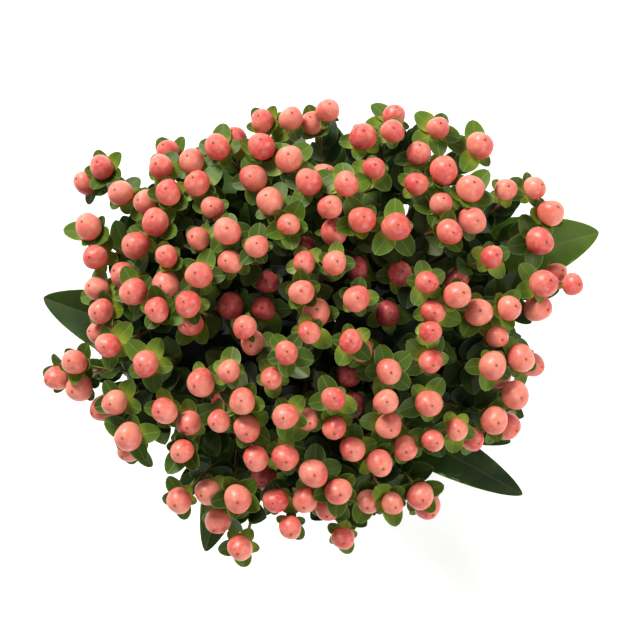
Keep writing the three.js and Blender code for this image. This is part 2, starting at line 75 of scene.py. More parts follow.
# Each stem's ring and its cymes. A cyme is given as x, y, its number of berries, the direction of the first
# of them, and how far they are tucked, from 0 to 1. Some stems have a large leaf that reaches past the
# berries, given as the x and y of its tip, its width and its tone, from dark to light. That tone is painted
# light and shade: how lit the leaf is where it lies.
STEMS = [
    ("outer", [(103.5, 19.6, 2, 323, 1), (93.2, 12.6, 2, 80, 0.7), (73, 2.5, 3, 38), (52, 9, 2, 36)]),
    ("outer", [(84.8, 57.6, 2, 0), (63, 51, 2, 95), (95, 42, 2, 73), (72, 29, 1)],
     (115, 39, 32, 0.7)),
    ("outer", [(29.5, 85.4, 2, 254, 0.8), (18.6, 80, 1), (67.4, 76.5, 1), (49.2, 83.6, 1),
               (44, 66, 3, 355)]),
    ("outer", [(-1, 88.5, 2, 35, 0.9), (-2.4, 61.6, 2, 194, 0.9), (9.4, 58.5, 1), (22, 66, 1)],
     (4, 84, 24, 0.08)),
    ("outer", [(-19, 87, 2, 4), (-41, 77, 2, 207, 0.8), (-27, 68.5, 2, 73), (-14, 70, 1)]),
    ("outer", [(-67.3, 70.5, 2, 246, 0.9), (-55.5, 69, 1), (-50.5, 54.8, 2, 130), (-69, 54, 2, 24)]),
    ("outer", [(-98, 64.5, 2, 40, 0.5), (-85.8, 56, 1), (-98, 35.5, 2, 103), (-75, 39, 2, 52)]),
    ("outer", [(-95, 10.5, 2, 282, 0.6), (-92.5, -6, 2, 306, 0.9), (-82, 17.5, 2, 303, 0.6),
               (-69, 8, 1)]),
    ("outer", [(-107.5, -22, 3, 70, 0.4), (-91, -34, 2, 20, 1), (-74.5, -16.5, 1),
               (-82.5, -50.5, 2, 90, 1)], (-116, 10, 29, -0.1)),
    ("outer", [(-61.5, -39.6, 2, 146, 0.5), (-59, -52, 1), (-60.5, -74.5, 1), (-43, -76, 3, 20),
               (-35, -95, 1)], (-49, -94, 20, 0.08)),
    ("outer", [(-21, -56, 2, 351), (-16, -80, 2, 296), (-6, -68, 2, 80)]),
    ("outer", [(4, -73.5, 2, 54, 0.6), (9, -90.5, 1)]),
    ("outer", [(42.5, -75, 2, 137, 1), (25.5, -75, 2, 0, 0.3), (19, -55, 2, 336)], (82, -71, 20, -0.2)),
    ("outer", [(76, -41.7, 2, 153, 1), (60.3, -46, 2, 150, 0.7), (40, -50, 2, 10), (45, -33, 1)],
     (78, -49, 20, -0.1)),
    ("outer", [(74.4, -20, 2, 130, 0.8), (80, -28, 1), (86.5, -16, 2, 160, 1), (45.5, -9, 2, 90)],
     (84, -38, 20, -0.1)),
    ("inner", [(31, 41, 1), (17, 44, 1), (52, 45, 2, 285), (44, 18, 1)]),
    ("inner", [(-18, 47, 2, 310), (-46, 38, 2, 13), (-33, 30, 2, 30)]),
    ("inner", [(-66, 22, 2, 85), (-52, 21, 1), (-56, 5, 2, 95, 0.8)]),
    ("inner", [(-45, -22, 2, 23), (-36, -39, 3, 70), (-30.8, -4.3, 2, 118, 1)]),
    ("inner", [(-18, -17, 2, 59), (-10.5, -39, 2, 170, 0.5), (5, -37, 2, 90), (-4, 1.1, 2, 249, 1)]),
    ("inner", [(14.4, -8.8, 2, 140, 1), (28, -21, 1), (28, -37, 2, 100)]),
    ("centre", [(-1, 26, 2, 0), (-8.5, 14, 1), (14.5, 11, 1), (4.5, 45, 2, 95, 0.6)]),
]


def unit(vector):
    return vector / np.linalg.norm(vector)


def between(a, b, share):
    return (1 - share) * a + share * b


def seeded(number):
    """Park and Miller's generator, which every stem starts from its own number."""
    state = 7919 * number
    while True:
        state = state * 16807 % 2147483647
        yield state / 2147483647


def crown_height(x, y):
    return CROWN_Z - CROWN_SAG * (x * x + y * y) / (CROWN_RADIUS * CROWN_RADIUS)


def grow_berry(x, y, lift, draw):
    radius = between(BERRY_LEAST, BERRY_MOST, next(draw))
    height = crown_height(x, y) + lift + CROWN_JITTER * (2 * next(draw) - 1)
    return Record(centre=np.array([x, y, height]), radius=radius, phase=72 * next(draw))


def grow_cyme(draw, x, y, count, turn=0, tuck=0):
    middle = np.array([x, y, crown_height(x, y)])
    out = unit(middle - FAN)
    spread = CYME_SPREAD[count] * between(1, TUCKED_SPREAD, tuck)
    berries = []
    for k in range(count):
        angle = math.radians(turn + 360 * k / count)
        lift = between(BERRY_LIFTS[k], TUCKED_LIFTS[k], tuck)
        berries.append(grow_berry(x + spread * math.cos(angle), y + spread * math.sin(angle), lift, draw))
    node = middle - CYME_DEPTH * out
    return Record(node=node, out=out, berries=berries, leaf_turn=360 * next(draw))


def grow_stem(index, ring, cymes, reach=None):
    draw = seeded(index + 1)
    cymes = [grow_cyme(draw, *cyme) for cyme in cymes]
    middle = sum(cyme.node for cyme in cymes) / len(cymes)
    out = unit(middle - FAN)
    return Record(
        name=f"stem_{index + 1:02d}", ring=ring, cymes=cymes, reach=reach, fork=middle - FORK_DEPTH * out,
        out=out, fork_turn=180 * next(draw), stem_turn=180 * next(draw), late=[])


def settle(berries):
    """Pushes berries that touch apart, along the line between them."""
    for _ in range(SETTLING_ROUNDS):
        for a, b in itertools.combinations(berries, 2):
            short = a.radius + b.radius + BERRY_GAP - math.dist(a.centre, b.centre)
            if short > 0:
                push = short / 2 * unit(b.centre - a.centre)
                a.centre = a.centre - push
                b.centre = b.centre + push


def stand(stem, angle):
    """Gives a stem its foot, its straight length through the tie and its bow up to the fork."""
    tie_radius, foot_radius = RINGS[stem.ring]
    stem.tie = np.array([tie_radius * math.cos(angle), tie_radius * math.sin(angle), TIE_Z])
    run = math.sqrt(foot_radius ** 2 - tie_radius ** 2)
    stem.foot = np.array([stem.tie[0] + run * math.sin(angle), stem.tie[1] - run * math.cos(angle), 0])
    rise = unit(stem.tie - stem.foot)
    pull = math.dist(stem.tie, stem.fork) / 3
    stem.bow = [stem.tie, stem.tie + rise * pull, stem.fork - stem.out * pull, stem.fork]


def bow_points(bow, steps):
    a, b, c, d = bow
    t = np.linspace(0, 1, steps + 1)[:, None]
    return (1 - t) ** 3 * a + 3 * (1 - t) ** 2 * t * b + 3 * (1 - t) * t ** 2 * c + t ** 3 * d


def level_on(stem, back):
    """The place on a stem's wood, so far back from its fork, and the wood's direction there."""
    points = bow_points(stem.bow, WOOD_STEPS)
    for below, above in zip(points[-2::-1], points[:0:-1]):
        length = math.dist(below, above)
        if back <= length:
            return Record(place=above + back * (below - above) / length, along=unit(above - below))
        back -= length
    raise ValueError("a leaf level is below the tie")


stems = [grow_stem(index, *stem) for index, stem in enumerate(STEMS)]
settle([berry for stem in stems for cyme in stem.cymes for berry in cyme.berries])
for ring, (tie_radius, _) in RINGS.items():
    members = [stem for stem in stems if stem.ring == ring]
    x, y = members[0].fork[:2]
    first_angle = math.atan2(y, x) - math.acos(tie_radius / math.hypot(x, y))
    for number, stem in enumerate(members):
        stand(stem, first_angle + 2 * math.pi * number / len(members))

tie_low, tie_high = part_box("tie")
AXIS = np.array([(tie_low[0] + tie_high[0]) / 2, (tie_low[1] + tie_high[1]) / 2, 0])  # metres


def solid_of(node):
    """A packed solid's corners, in this script's millimetres."""
    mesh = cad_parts[node].data
    corners = np.empty(3 * len(mesh.vertices))
    mesh.vertices.foreach_get("co", corners)
    return (corners.reshape(-1, 3) - AXIS) * 1000


solids = {name: solid_of(name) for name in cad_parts}


def solid_tree(node):
    faces = [face.vertices[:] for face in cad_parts[node].data.polygons]
    return BVHTree.FromPolygons(solids[node].tolist(), faces)


# What stands so far, which later growth has to clear: first the packed solids, then the fine pieces.
standing = [solid_tree(name) for name in solids]


def across_of(direction):
    """Two directions square to this one and to each other. The first is as near +X as it can be."""
    a = unit(EAST - EAST.dot(direction) * direction)
    return a, np.cross(direction, a)


def angles_round(sides):
    return 2 * np.pi * np.arange(sides) / sides


def circle(a, b, angles):
    return np.cos(angles)[..., None] * a + np.sin(angles)[..., None] * b


def ring_at(middle, direction, radius, sides, phase=0.0):
    """Points round a direction. The first is towards +X, turned by its phase in degrees."""
    return middle + radius * circle(*across_of(direction), np.radians(phase) + angles_round(sides))


def skin_faces(rows, sides):
    """The faces of a closed skin of rows of points, with a last point below it and one above.

    The first faces, as many as it has sides, close it below.
    """
    start = np.arange(rows - 1)[:, None] * sides
    here = np.arange(sides)[None, :]
    beside = (here + 1) % sides
    quads = np.stack([start + here, start + beside, start + sides + beside, start + sides + here], axis=-1)
    top = (rows - 1) * sides
    below, above = rows * sides, rows * sides + 1
    foot = [[below, (k + 1) % sides, k] for k in range(sides)]
    head = [[above, top + k, top + (k + 1) % sides] for k in range(sides)]
    return foot + quads.reshape(-1, 4).tolist() + head


def skin_tree(rows, below, above):
    points = np.vstack([rows.reshape(-1, 3), below, above])
    return BVHTree.FromPolygons(points.tolist(), skin_faces(*rows.shape[:2]))


def is_clear(rows, below, above):
    """Whether a skin touches nothing that stands so far."""
    tree = skin_tree(rows, below, above)
    return not any(tree.overlap(other) for other in standing)


# Late shoots. Each is one berry, deep between the others, on a side shoot of the nearest stem. Their places
# are given as (x, y). Those that find no room at any of the depths below the dome are left out.
LATE_BERRIES = [
    (-39, 8), (-23, 18), (-24.5, 7), (-76, 3), (-42, -33), (15, 24), (33, 22), (57, 19), (28, 5), (11, -21),
    (64.7, -20.6), (-25, -65), (10, -62), (-7, 32), (71, 42), (12.4, -34.5), (-42, -60), (-59, 61),
]
LATE_DEPTHS = [26, 30, 22, 34, 18, 38]  # in the order of trying
LATE_NODE_DEPTH = 13
LATE_ROOTS = range(6, 64, 6)  # back from a stem's fork
LATE_ROOT_BELOW = 16  # least height from a late berry's root on the stem up to its node
LATE_ROOM = 0.6  # round the berry


def grow_late(x, y, number):
    draw = seeded(1000 + number)
    radius = between(BERRY_LEAST, BERRY_MOST, 0.2 + 0.6 * next(draw))
    for depth in LATE_DEPTHS:
        centre = np.array([x, y, crown_height(x, y) - depth])
        out = unit(centre - FAN)
        room = np.stack([
            ring_at(centre + out * height * radius, out, width * (radius + LATE_ROOM), 8)
            for height, width in ((-0.8, 0.6), (0, 1), (0.8, 0.6))])
        if is_clear(room, centre - out * radius * 1.5, centre + out * (radius * 1.2)):
            break
    else:
        return
    standing.append(skin_tree(room, centre - out * radius, centre + out * radius))
    node = centre - LATE_NODE_DEPTH * out
    roots = [(stem, back) for stem in stems for back in LATE_ROOTS
             if level_on(stem, back).place[2] < node[2] - LATE_ROOT_BELOW]
    stem, back = min(roots, key=lambda root: math.dist(level_on(*root).place, node))
    berry = Record(centre=centre, radius=radius, phase=72 * next(draw))
    stem.late.append(Record(
        node=node, out=out, berries=[berry], leaf_turn=360 * next(draw), root=level_on(stem, back)))


for number, (x, y) in enumerate(LATE_BERRIES):
    grow_late(x, y, number)

# ----------------------------------------
# Wood. Each stem is a two-ridged woody shoot, swollen where pairs of leaves grow and where lower ones were
# stripped off, and cut level at its foot. Its branches and the berries' stalks are thin, red-brown and
# turn green under the berry.

FOOT_RADIUS = 2.3
TIE_STEM_RADIUS = 2.1
FORK_RADIUS = 1.5
STEM_SIDES = 10
STALK_SIDES = 7
STEM_STEP = 2.4
RIDGE = 0.05  # of the wood's radius, on two sides
SWELLING = 0.22  # of the wood's radius, at a pair of leaves
SWELLING_HALF = 1.7
LOWER_NODES = range(80, 330, 22)  # from the fork back, where leaves were stripped
BRANCH = Record(radii=(0.9, 0.7), ages=(0.5, -0.1))  # at its root and below its berry
STALK = Record(radii=(0.64, 0.54), ages=(0.35, -0.1))
NECK = [3.2, 1.3, 0.2]  # places below a berry's base, on the last, straight part of its stalk
RECEPTACLE_RADIUS = 1.7  # under a berry, where the sepals sit
RECEPTACLE_LENGTH = 1.2
RECEPTACLE_FOOT = 0.8  # of its radius, where the stalk has widened into it
BERRY_BASE = -0.72  # height of a berry's base on its axis, to its radius
UPTURN = 0.55
UP = np.array([0, 0, 1.0])
FOOT_AGE = 1.0  # an age of 0 is green, and of 1 is old bark
FORK_AGE = 0.45
SHARP_ANGLE = 62  # degrees, between faces that aren't shaded as one surface
BARK_OLD = 0x665443
BARK_HALF_OLD = 0x5E3A2C
BARK_YOUNG = 0x6F392E
STALK_GREEN = 0x828C3F
PORE = 0xB89C7A


def linear(colour):
    """An sRGB hex colour as the linear numbers that a shader takes."""
    shares = [(colour >> shift & 255) / 255 for shift in (16, 8, 0)]
    return [s / 12.92 if s <= 0.04045 else ((s + 0.055) / 1.055) ** 2.4 for s in shares] + [1.0]


def add_node(tree, kind, inputs=(), **settings):
    """Adds a node, sets its own settings, and sets or links its inputs, by name or number."""
    node = tree.nodes.new("ShaderNode" + kind)
    for name, value in settings.items():
        setattr(node, name, value)
    for key, value in dict(inputs).items():
        socket = node.inputs[key]
        if isinstance(key, str):
            socket = next(s for s in node.inputs if s.name == key and s.enabled)
        if isinstance(value, bpy.types.Node):
            value = next(s for s in value.outputs if s.enabled)
        if isinstance(value, bpy.types.NodeSocket):
            tree.links.new(value, socket)
        else:
            socket.default_value = value
    return node


def new_material(name):
    material = bpy.data.materials.new(name)
    material.use_nodes = True
    material.node_tree.nodes.clear()
    return material, material.node_tree


def laid_over(tree, colour, *layers):
    """Lays colours over a first one.

    Each layer is its colour, the measure that it follows, where on it the layer starts and ends, how strong
    it is there, and how it goes over, when not in a straight line.
    """
    for over, measure, start, end, first, last, *ease in layers:
        share = add_node(tree, "MapRange", {"Value": measure, "From Min": start, "From Max": end,
                                            "To Min": first, "To Max": last})
        share.interpolation_type = (*ease, "LINEAR")[0]
        colour = add_node(tree, "Mix", {"Factor": share, "A": colour, "B": linear(over)}, data_type="RGBA")
    return colour


def in_frame(points):
    return np.asarray(points) * 0.001 + AXIS


def new_object(name, data):
    made = bpy.data.objects.new(name, data)
    bpy.context.scene.collection.objects.link(made)
    return made


def begin_piece():
    return Record(points=[], faces=[], finishes=[], painted={}, count=0)


def add_skin(piece, rows, below, above, finish=0, foot_finish=None, **painted):
    """Adds a closed skin to a piece. What is painted is spread over the points of its rows."""
    count, sides = rows.shape[:2]
    faces = skin_faces(count, sides)
    piece.points.append(np.vstack([rows.reshape(-1, 3), below, above]))
    piece.faces += [[piece.count + corner for corner in face] for face in faces]
    piece.finishes += [finish if foot_finish is None else foot_finish] * sides
    piece.finishes += [finish] * (len(faces) - sides)
    for name, values in painted.items():
        values = np.asarray(values, float)
        size = values.shape[2:] if values.ndim == 3 else ()
        values = np.broadcast_to(values, (count, sides) + size)
        ends = [values[0].mean(axis=0), values[-1].mean(axis=0)]
        flat = np.concatenate([values.reshape((-1,) + size), np.stack(ends)])
        piece.painted.setdefault(name, []).append(flat)
    piece.count += count * sides + 2


def finish_piece(piece, node, kind, materials):
    """Makes the piece's mesh, paints it, and hands it to the frame in place of its packed solid."""
    name = node + "_" + kind
    mesh = bpy.data.meshes.new(name)
    mesh.from_pydata(in_frame(np.vstack(piece.points)).tolist(), [], piece.faces)
    for label, values in piece.painted.items():
        values = np.concatenate(values)
        form, field = ("FLOAT", "value") if values.ndim == 1 else ("FLOAT_VECTOR", "vector")
        mesh.attributes.new(label, form, "POINT").data.foreach_set(field, values.ravel())
    for material in materials:
        mesh.materials.append(material)
    mesh.polygons.foreach_set("material_index", piece.finishes)
    mesh.shade_smooth()
    mesh.set_sharp_from_angle(angle=math.radians(SHARP_ANGLE))
    mesh.validate()
    made = new_object(name, mesh)
    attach(made, "root")
    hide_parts(node)


def smooth_course(points, steps):
    """A Catmull-Rom curve through a few points, with so many lengths between each two of them."""
    points = np.array(points)
    ends = np.vstack([2 * points[0] - points[1], points, 2 * points[-1] - points[-2]])
    t = np.linspace(0, 1, steps, endpoint=False)[:, None]
    spans = []
    for p, q, r, s in zip(ends, ends[1:], ends[2:], ends[3:]):
        spans.append(0.5 * (2 * q + (r - p) * t + (2 * p - 5 * q + 4 * r - s) * t ** 2
                            + (3 * q - p - 3 * r + s) * t ** 3))
    return np.vstack([*spans, points[-1:]])


def along_of(course):
    steps = np.linalg.norm(np.diff(course, axis=0), axis=1)
    return np.concatenate([[0], np.cumsum(steps)])


def tube_rows(course, radii, sides):
    """Rings of points round a course, which don't twist. A radius may differ round its ring."""
    ahead = np.gradient(course, axis=0)
    across = np.cross(ahead[0], EAST if abs(unit(ahead[0])[0]) < 0.9 else UP)
    rows = []
    for place, direction, radius in zip(course, ahead, radii):
        along = unit(direction)
        across = unit(across - across.dot(along) * along)
        ring = circle(across, np.cross(along, across), angles_round(sides))
        rows.append(place + np.reshape(radius, (-1, 1)) * ring)
    return np.stack(rows)


def grain_of(course, radii, sides):
    """Where each point of a tube is, on the tube laid straight along z, so that grain runs along it."""
    angles = angles_round(sides)
    ring = np.stack([np.cos(angles), np.sin(angles), 0 * angles], axis=-1)
    lengths = along_of(course)[:, None, None] * UP
    return ring[None] * np.mean(np.atleast_2d(radii)) + lengths


def add_stem_wood(piece, stem):
    lower = np.linspace(stem.foot, stem.tie, int(math.dist(stem.foot, stem.tie) / STEM_STEP))[:-1]
    upper = bow_points(stem.bow, int(math.dist(stem.tie, stem.fork) / STEM_STEP))
    course = np.vstack([lower, upper, stem.fork + stem.out])
    lengths = along_of(course)
    total = lengths[-1]
    radii = np.interp(lengths, [0, lengths[len(lower)], total], [FOOT_RADIUS, TIE_STEM_RADIUS, FORK_RADIUS])
    for back in [0, *LEVELS_BACK[stem.ring], *LOWER_NODES]:
        radii *= 1 + SWELLING * np.exp(-((total - 1 - back - lengths) / SWELLING_HALF) ** 2)
    radii = radii[:, None] * (1 + RIDGE * np.cos(2 * angles_round(STEM_SIDES)))
    rows = tube_rows(course, radii, STEM_SIDES)
    rise = unit(stem.tie - stem.foot)
    rows[0] -= rows[0][:, 2:] / rise[2] * rise
    ages = between(FOOT_AGE, FORK_AGE, lengths / total)[:, None]
    add_skin(piece, rows, stem.foot, course[-1] + 0.6 * stem.out, foot_finish=1,
             age=ages, grain=grain_of(course, radii, STEM_SIDES))


def packed_axis(cyme, berry):
    return unit(berry.centre - cyme.node)


def berry_axis(cyme, berry):
    """A berry's own axis, which has turned up a little towards the light."""
    return unit(packed_axis(cyme, berry) + UPTURN * UP)


def base_of(berry, axis):
    return berry.centre + axis * (BERRY_BASE * berry.radius)


def add_stalk(piece, start, berry, axis, kind):
    """A stalk through a few points up to its berry's base, where it widens under the sepals."""
    course = smooth_course([*start, *(base_of(berry, axis) - axis * below for below in NECK)], 4)
    lengths = along_of(course)
    total = lengths[-1]
    widths = np.interp(lengths, [0, total - NECK[0], total - RECEPTACLE_LENGTH, total],
                       [*kind.radii, RECEPTACLE_FOOT * RECEPTACLE_RADIUS, RECEPTACLE_RADIUS])
    above = course[-1] + 0.3 * (course[-1] - course[-2])
    add_skin(piece, tube_rows(course, widths, STALK_SIDES), course[0], above,
             age=between(*kind.ages, lengths / total)[:, None], grain=grain_of(course, widths, STALK_SIDES))


bark, tree = new_material("young_hypericum_bark")
# Thin, smooth bark that dries from green through red to grey-brown, with fine streaks along the shoot and
# a few pale pores. Its wax gives it a dull gloss.
grain = add_node(tree, "Attribute", attribute_name="grain")
streaks = add_node(tree, "Mapping", {"Vector": grain.outputs["Vector"], "Scale": (1.6, 1.6, 0.12)})
streaks = add_node(tree, "TexNoise", {"Vector": streaks, "Scale": 1.0, "Detail": 4.0})
age = add_node(tree, "Attribute", attribute_name="age")
aged = add_node(tree, "MapRange", {"Value": streaks, "From Min": 0.3, "From Max": 0.7, "To Min": -0.22,
                                   "To Max": 0.22})
aged = add_node(tree, "Math", {0: age.outputs["Fac"], 1: aged}, operation="ADD")
tone = add_node(tree, "ValToRGB", {"Fac": aged})
tone.color_ramp.elements[0].color = linear(STALK_GREEN)
tone.color_ramp.elements[1].color = linear(BARK_OLD)
tone.color_ramp.elements[1].position = 0.95
tone.color_ramp.elements.new(0.22).color = linear(BARK_YOUNG)
tone.color_ramp.elements.new(0.55).color = linear(BARK_HALF_OLD)
pores = add_node(tree, "TexVoronoi", {"Vector": grain.outputs["Vector"], "Scale": 0.45})
tone = laid_over(tree, tone, (PORE, pores, 0.12, 0.2, 0.6, 0))
relief = add_node(tree, "Bump", {"Strength": 0.5, "Distance": 0.0002, "Height": streaks})
shader = add_node(tree, "BsdfPrincipled", {"Base Color": tone, "Roughness": 0.52, "IOR": 1.48,
                                           "Normal": relief})
add_node(tree, "OutputMaterial", {"Surface": shader})


def clouded_material(name, fineness, one, other, roughness, specular=0.5):
    """A dull stuff of two close colours, in about so many clouds to the metre."""
    material, tree = new_material(name)
    place = add_node(tree, "TexCoord").outputs["Object"]
    clouds = add_node(tree, "TexNoise", {"Vector": place, "Scale": fineness, "Detail": 2.0})
    colour = laid_over(tree, linear(one), (other, clouds, 0, 1, 0, 1))
    shader = add_node(tree, "BsdfPrincipled", {"Base Color": colour, "Roughness": roughness,
                                               "Specular IOR Level": specular})
    add_node(tree, "OutputMaterial", {"Surface": shader})
    return material


# Pale, damp wood at the cut ends: matt, in faint clouds of about a millimetre.
cut_wood = clouded_material("fresh_cut_wood", 900.0, one=0xD8CBA2, other=0xBFAA78, roughness=0.75)

for stem in stems:
    wood = begin_piece()
    add_stem_wood(wood, stem)
    for cyme in stem.cymes:
        first, *others = cyme.berries
        add_stalk(wood, [stem.fork - stem.out, between(stem.fork, cyme.node, 0.4), cyme.node],
                  first, berry_axis(cyme, first), BRANCH)
        for berry in others:
            elbow = cyme.node + 4 * packed_axis(cyme, berry)
            add_stalk(wood, [cyme.node - cyme.out, elbow], berry, berry_axis(cyme, berry), STALK)
    for shoot in stem.late:
        (berry,) = shoot.berries
        middle = between(shoot.root.place, shoot.node, 0.5) + 2.5 * shoot.root.along
        add_stalk(wood, [shoot.root.place, middle, shoot.node], berry, berry_axis(shoot, berry), BRANCH)
    finish_piece(wood, stem.name, "wood", [bark, cut_wood])

# ----------------------------------------
# Berries. A ripening hypericum capsule is a firm, fleshy, broad egg with three faint seams, where its
# carpels meet. The dry ends of three styles are left at its tip.

BERRY_SIDES = 28
BERRY_TURNS = np.radians([*range(10, 171, 10), 174.5, 177.5])  # of its rows, from its base to its tip
GIRTH_HEIGHT = -0.15  # the heights here are to the berry's radius, from its centre
BELOW_GIRTH = 0.78
ABOVE_GIRTH = 1.22
BERRY_FULLNESS = 0.93  # of its solid's radius
SEAMS = 3
SEAM_DEPTH = 0.022
SEAM_SHARPNESS = 24
LOBE = 0.055
TWO_LOBE = 0.045
FOUR_LOBE = 0.018
LEAN = 0.07
DIMPLE = 0.03
DIMPLE_WIDTH = 0.16
STYLE_LENGTH = 0.55
STYLE_RADIUS = 0.13
STYLE_LEANS = [0.1, 0.2, 0.35]  # from its root, sunk in the berry, to its end
STYLE_SUNK = 0.3
STYLE_TURN = 2.1  # radians from one style to the next
PEACH = 0xD37D66
CORAL = 0xBF3F39
SHADE_CRIMSON = 0xB23C46
YOUNG_BASE = 0xC4B060
SEAM_RED = 0xC04840
TIP_BROWN = 0x7A3828
MOTTLE_PINK = 0xDCA28E
DOT_CREAM = 0xE0AC90
SHADED_TONE = 0.6  # late berries, deep in the bunch, are painted darker crimson: painted shade


def add_berry(piece, berry, axis, look):
    """look holds what differs between berries, such as their tone, blush and small lopsidedness."""
    radius = BERRY_FULLNESS * berry.radius
    turn = BERRY_TURNS[:, None]
    angles = angles_round(BERRY_SIDES)[None, :]
    rise = np.where(turn < np.pi / 2, BELOW_GIRTH, ABOVE_GIRTH)
    top = np.clip((turn / np.pi - 0.25) / 0.75, 0, 1)
    seam = np.cos(SEAMS / 2 * (angles - look.seam)) ** SEAM_SHARPNESS
    width = np.sin(turn) * (
        1 + LOBE * np.cos(SEAMS * (angles - look.seam) + np.pi) * top - SEAM_DEPTH * seam * top
        + LEAN * look.lean * np.cos(angles - look.side) + TWO_LOBE * np.cos(2 * (angles - look.blush))
        + FOUR_LOBE * np.cos(4 * angles + look.side) * top)
    dimple = DIMPLE * np.exp(-(np.sin(turn) / DIMPLE_WIDTH) ** 2) * (turn > np.pi / 2)
    height = GIRTH_HEIGHT - np.cos(turn) * rise - dimple
    a, b = across_of(axis)
    rows = berry.centre + radius * (width[..., None] * circle(a, b, angles) + height[..., None] * axis)
    low = berry.centre + axis * (radius * (GIRTH_HEIGHT - BELOW_GIRTH))
    tip = berry.centre + axis * (radius * (GIRTH_HEIGHT + ABOVE_GIRTH - 1.15 * DIMPLE))
    blush = 0.5 + 0.5 * np.sin(turn) * np.cos(angles - look.blush)
    add_skin(piece, rows, low, tip, height=turn / np.pi, blush=blush, tone=look.tone, seam=seam * top)
    for k, growth in enumerate(look.styles):
        turned = look.seam + STYLE_TURN * k
        aside = a * math.cos(turned) + b * math.sin(turned)
        length = STYLE_LENGTH * growth
        rises = [-STYLE_SUNK, 0.5 * length, length]
        course = smooth_course([tip + l * aside + r * axis for l, r in zip(STYLE_LEANS, rises)], 2)
        widths = STYLE_RADIUS * np.linspace(1.25, 0.6, len(course))
        add_skin(piece, tube_rows(course, widths, 5), course[0], course[-1], finish=1,
                 height=1.0, blush=0.0, tone=0.0, seam=0.0)
    standing.append(skin_tree(rows, low, tip))


berry_skin, tree = new_material("ripe_berry_skin")
# Taut waxy skin over firm flesh: a soft, broad gloss, duller round the styles, and light that goes a little
# way in and comes back redder. The colour runs from peach to coral in clouds, finely speckled.
height, blush, tone, seam = [
    add_node(tree, "Attribute", attribute_name=label).outputs["Fac"]
    for label in ("height", "blush", "tone", "seam")]
place = add_node(tree, "TexCoord").outputs["Object"]
clouds = add_node(tree, "TexNoise", {"Vector": place, "Scale": 170.0, "Detail": 3.0})
redness = add_node(tree, "Math", {0: clouds, 1: 0.55, 2: tone}, operation="MULTIPLY_ADD")
redness = add_node(tree, "Math", {0: blush, 1: 0.45, 2: redness}, operation="MULTIPLY_ADD")
# Pale mottles of one to two millimetres break the colour up.
mottles = add_node(tree, "TexNoise", {"Vector": place, "Scale": 480.0, "Detail": 2.0})
# The skin's pale dots are about 0.15 mm across, and drawn at about 0.4 mm so that they show.
dots = add_node(tree, "TexVoronoi", {"Vector": place, "Scale": 900.0})
# The crimson layer, on the reddest tones and mostly on the late berries deep in the bunch, is painted
# shade.
colour = laid_over(
    tree, linear(PEACH),
    (CORAL, redness, 0.3, 1.1, 0, 1, "SMOOTHSTEP"),
    (SHADE_CRIMSON, redness, 1, 1.7, 0, 1),
    (YOUNG_BASE, height, 0.12, 0.3, 0.85, 0, "SMOOTHSTEP"),
    (SEAM_RED, seam, 0, 1, 0, 0.35),
    (TIP_BROWN, height, 0.94, 0.99, 0, 0.7, "SMOOTHSTEP"),
    (MOTTLE_PINK, mottles, 0.42, 0.78, 0, 0.36),
    (DOT_CREAM, dots, 0.12, 0.3, 0.14, 0))
relief = add_node(tree, "Bump", {"Strength": 0.25, "Distance": 0.0004, "Height": clouds})
dullness = add_node(tree, "MapRange", {"Value": height, "From Min": 0.84, "From Max": 0.96, "To Min": 0.4,
                                       "To Max": 0.8})
shader = add_node(tree, "BsdfPrincipled", {
    "Base Color": colour, "Roughness": dullness, "IOR": 1.48, "Subsurface Weight": 0.35,
    "Subsurface Radius": (1.0, 0.35, 0.22), "Subsurface Scale": 0.0016, "Normal": relief})
add_node(tree, "OutputMaterial", {"Surface": shader})

# The styles have dried to dark brown, matt threads, in patches of under half a millimetre.
dry_style = clouded_material("dried_style", 2500.0, one=0x4A241A, other=0x7A4632, roughness=0.8)

# From here on the fine berries stand in for the solids, out of which the sepals grow.
standing = []
for index, stem in enumerate(stems):
    luck = random.Random(index)
    berries = begin_piece()
    shoots = [(cyme, 0) for cyme in stem.cymes] + [(shoot, SHADED_TONE) for shoot in stem.late]
    for shoot, shaded_tone in shoots:
        for berry in shoot.berries:
            look = Record(
                tone=shaded_tone + luck.uniform(0, 0.44), blush=luck.uniform(0, 6.28),
                seam=luck.uniform(0, 6.28), side=luck.uniform(0, 6.28), lean=luck.uniform(0, 1),
                styles=[luck.uniform(0.6, 1.1) for _ in range(3)])
            add_berry(berries, berry, berry_axis(shoot, berry), look)
    finish_piece(berries, stem.name, "berries", [berry_skin, dry_style])

# ----------------------------------------
# Calyxes. Five blunt, leafy sepals sit under each berry and open like a collar, lime at their roots. They
# are about as large, and as far turned and folded back, as in the packed solid.

SEPAL_REACH = 5.6
NOTCH_RADIUS = 0.62
CALYXES = [Record(size=size, turn=turn, fold=fold) for size, turn, fold in itertools.product(
    [1, 0.8, 0.6, 0.4], [0, 24, 48], [10, 35, -30, 60])]
BARE_CALYX = Record(size=0.34, turn=0, fold=10)
SEPAL_WIDTH = 6.5
SEPAL_THICKNESS = 0.3
BLADE_THINNING = 0.6  # of a blade's thickness, from its rib to its edges
SEPAL_STATIONS = np.array([0, 0.1, 0.22, 0.36, 0.5, 0.64, 0.77, 0.88, 0.96])
SEPAL_ACROSS = np.array([-1, -0.6, 0, 0.6, 1])
SEPAL_LIFTS = [0, 0.45, 0.15, 0.6, 0.3]  # each over its neighbours
CALYX_VIGOUR = (0.95, 1.28)
SHORT_SEPAL = (0.7, 0.92)
LONG_SEPAL = (1, 1.2)
SEPAL_FREE = 5  # the station from which a sepal stands clear of its own berry
SEPAL_SHRINK = 0.88  # tried again and again, while the sepal meets another berry
SEPAL_LEAST = 0.75
SAME_PLACE = 0.05  # how near a solid's corner has to be, to be the one that is looked for
SEPAL_STRAY = 0.35
# Almost black green: painted shade on leaves deep in the bunch.
PAINTED_SHADE_LEAF = 0x060A04


